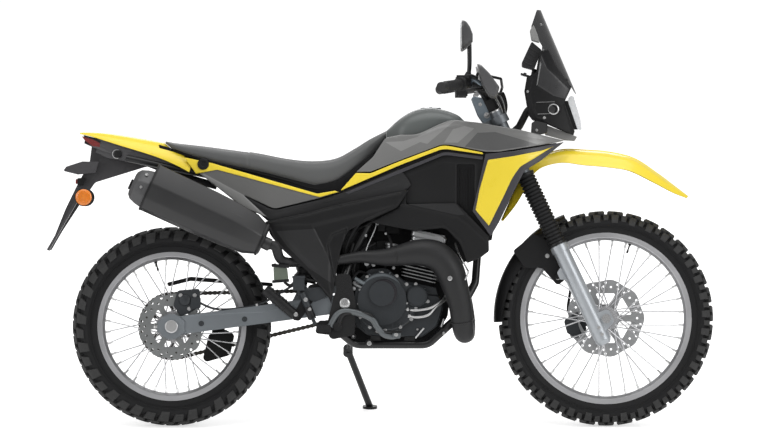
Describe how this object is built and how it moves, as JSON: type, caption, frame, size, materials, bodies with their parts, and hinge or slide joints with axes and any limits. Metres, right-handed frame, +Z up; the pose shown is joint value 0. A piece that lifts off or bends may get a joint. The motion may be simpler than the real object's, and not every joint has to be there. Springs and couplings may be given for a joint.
{
  "type": "dual sport motorcycle",
  "caption": "Yellow, grey and black dual sport motorcycle with rally tower and screen, spoked wheels and upswept exhaust, parked on its side stand.",
  "frame": {"origin": "centre of the bounding box at the floor", "axes": "+X towards the front wheel, +Y towards the rider's left (the side stand's side), +Z up; the machine leans 10 degrees to +Y onto its side stand"},
  "size_m": [2.1868, 0.8358, 1.3612],
  "materials": {
    "black_rubber": "matt",
    "chain_steel": "oiled",
    "black_plastic": "textured",
    "grey_plastic": "gloss",
    "barrel_alloy": "cast",
    "engine_casting": "cast",
    "black_steel": "satin",
    "bolt_steel": "satin",
    "fork_alloy": "satin",
    "caliper_metal": "satin",
    "disc_steel": "ground",
    "spoke_steel": "satin",
    "rim_alloy": "satin",
    "tyre_rubber": "matt rubber",
    "dark_grey_plastic": "satin",
    "bar_steel": "satin",
    "lamp_glass": "clear",
    "yellow_plastic": "gloss",
    "amber_lens": "clear",
    "frame_paint": "satin",
    "seat_vinyl": "grained",
    "arm_alloy": "satin",
    "red_lens": "clear",
    "screen_smoke": "smoked"
  },
  "bodies": {
    "machine": {"chain": "chain_steel", "chain_guard": "black_plastic", "chin_panel": "grey_plastic", "cylinder": "barrel_alloy", "engine_block": "engine_casting", "expansion_chamber": "black_steel", "foot_controls": "bolt_steel", "fuel_tank": "dark_grey_plastic", "headlight": "lamp_glass", "indicators": "amber_lens", "instruments": "dark_grey_plastic", "intake": "black_rubber", "lower_shrouds": "black_plastic", "main_frame": "frame_paint", "rear_axle": "bolt_steel", "rear_brake": "caliper_metal", "rear_fender": "black_plastic", "rear_shock": "caliper_metal", "seat": "seat_vinyl", "side_covers": "black_plastic", "silencer": "black_steel", "silencer_cap": "grey_plastic", "subframe": "frame_paint", "swingarm": "arm_alloy", "tail_cowl": "yellow_plastic", "tail_light": "red_lens", "tank_shrouds": "grey_plastic", "tower_cowl": "black_plastic", "upper_covers": "grey_plastic", "windscreen": "screen_smoke", "yellow_panels": "yellow_plastic"},
    "front_wheel": {"front_tyre": "tyre_rubber", "front_rim": "rim_alloy", "front_hub": "spoke_steel", "front_disc": "disc_steel"},
    "rear_wheel": {"rear_tyre": "tyre_rubber", "rear_rim": "rim_alloy", "rear_hub": "spoke_steel", "rear_disc": "disc_steel", "rear_sprocket": "chain_steel"},
    "side_stand": {"side_stand": "frame_paint"},
    "front_end": {"fork_yokes": "fork_alloy", "fork_gaiters": "black_rubber", "fork_lowers": "fork_alloy", "front_axle": "bolt_steel", "high_fender": "yellow_plastic", "low_mudguard": "black_plastic", "handlebar": "bar_steel", "bar_controls": "black_rubber", "handguards": "dark_grey_plastic", "mirrors": "dark_grey_plastic", "front_brake": "caliper_metal", "brake_hose": "black_rubber"}
  },
  "joints": [
    {"name": "steering", "type": "hinge", "parent": "machine", "child": "front_end", "pos_m": [0.39313, -0.02993, 0.91322], "axis": [-0.4274, 0.157, 0.8903], "range_deg": [-38, 38]},
    {"name": "front_wheel_spin", "type": "hinge", "parent": "front_end", "child": "front_wheel", "pos_m": [0.74056, -0.12952, 0.3484], "axis": [0, 0.9848, -0.1736], "continuous": true},
    {"name": "rear_wheel_spin", "type": "hinge", "parent": "machine", "child": "rear_wheel", "pos_m": [-0.68444, -0.13407, 0.3226], "axis": [0, 0.9848, -0.1736], "continuous": true},
    {"name": "side_stand_fold", "type": "hinge", "parent": "machine", "child": "side_stand", "pos_m": [-0.10644, -0.03794, 0.22281], "axis": [0, 0.9511, 0.309], "range_deg": [0, 104]}
  ]
}
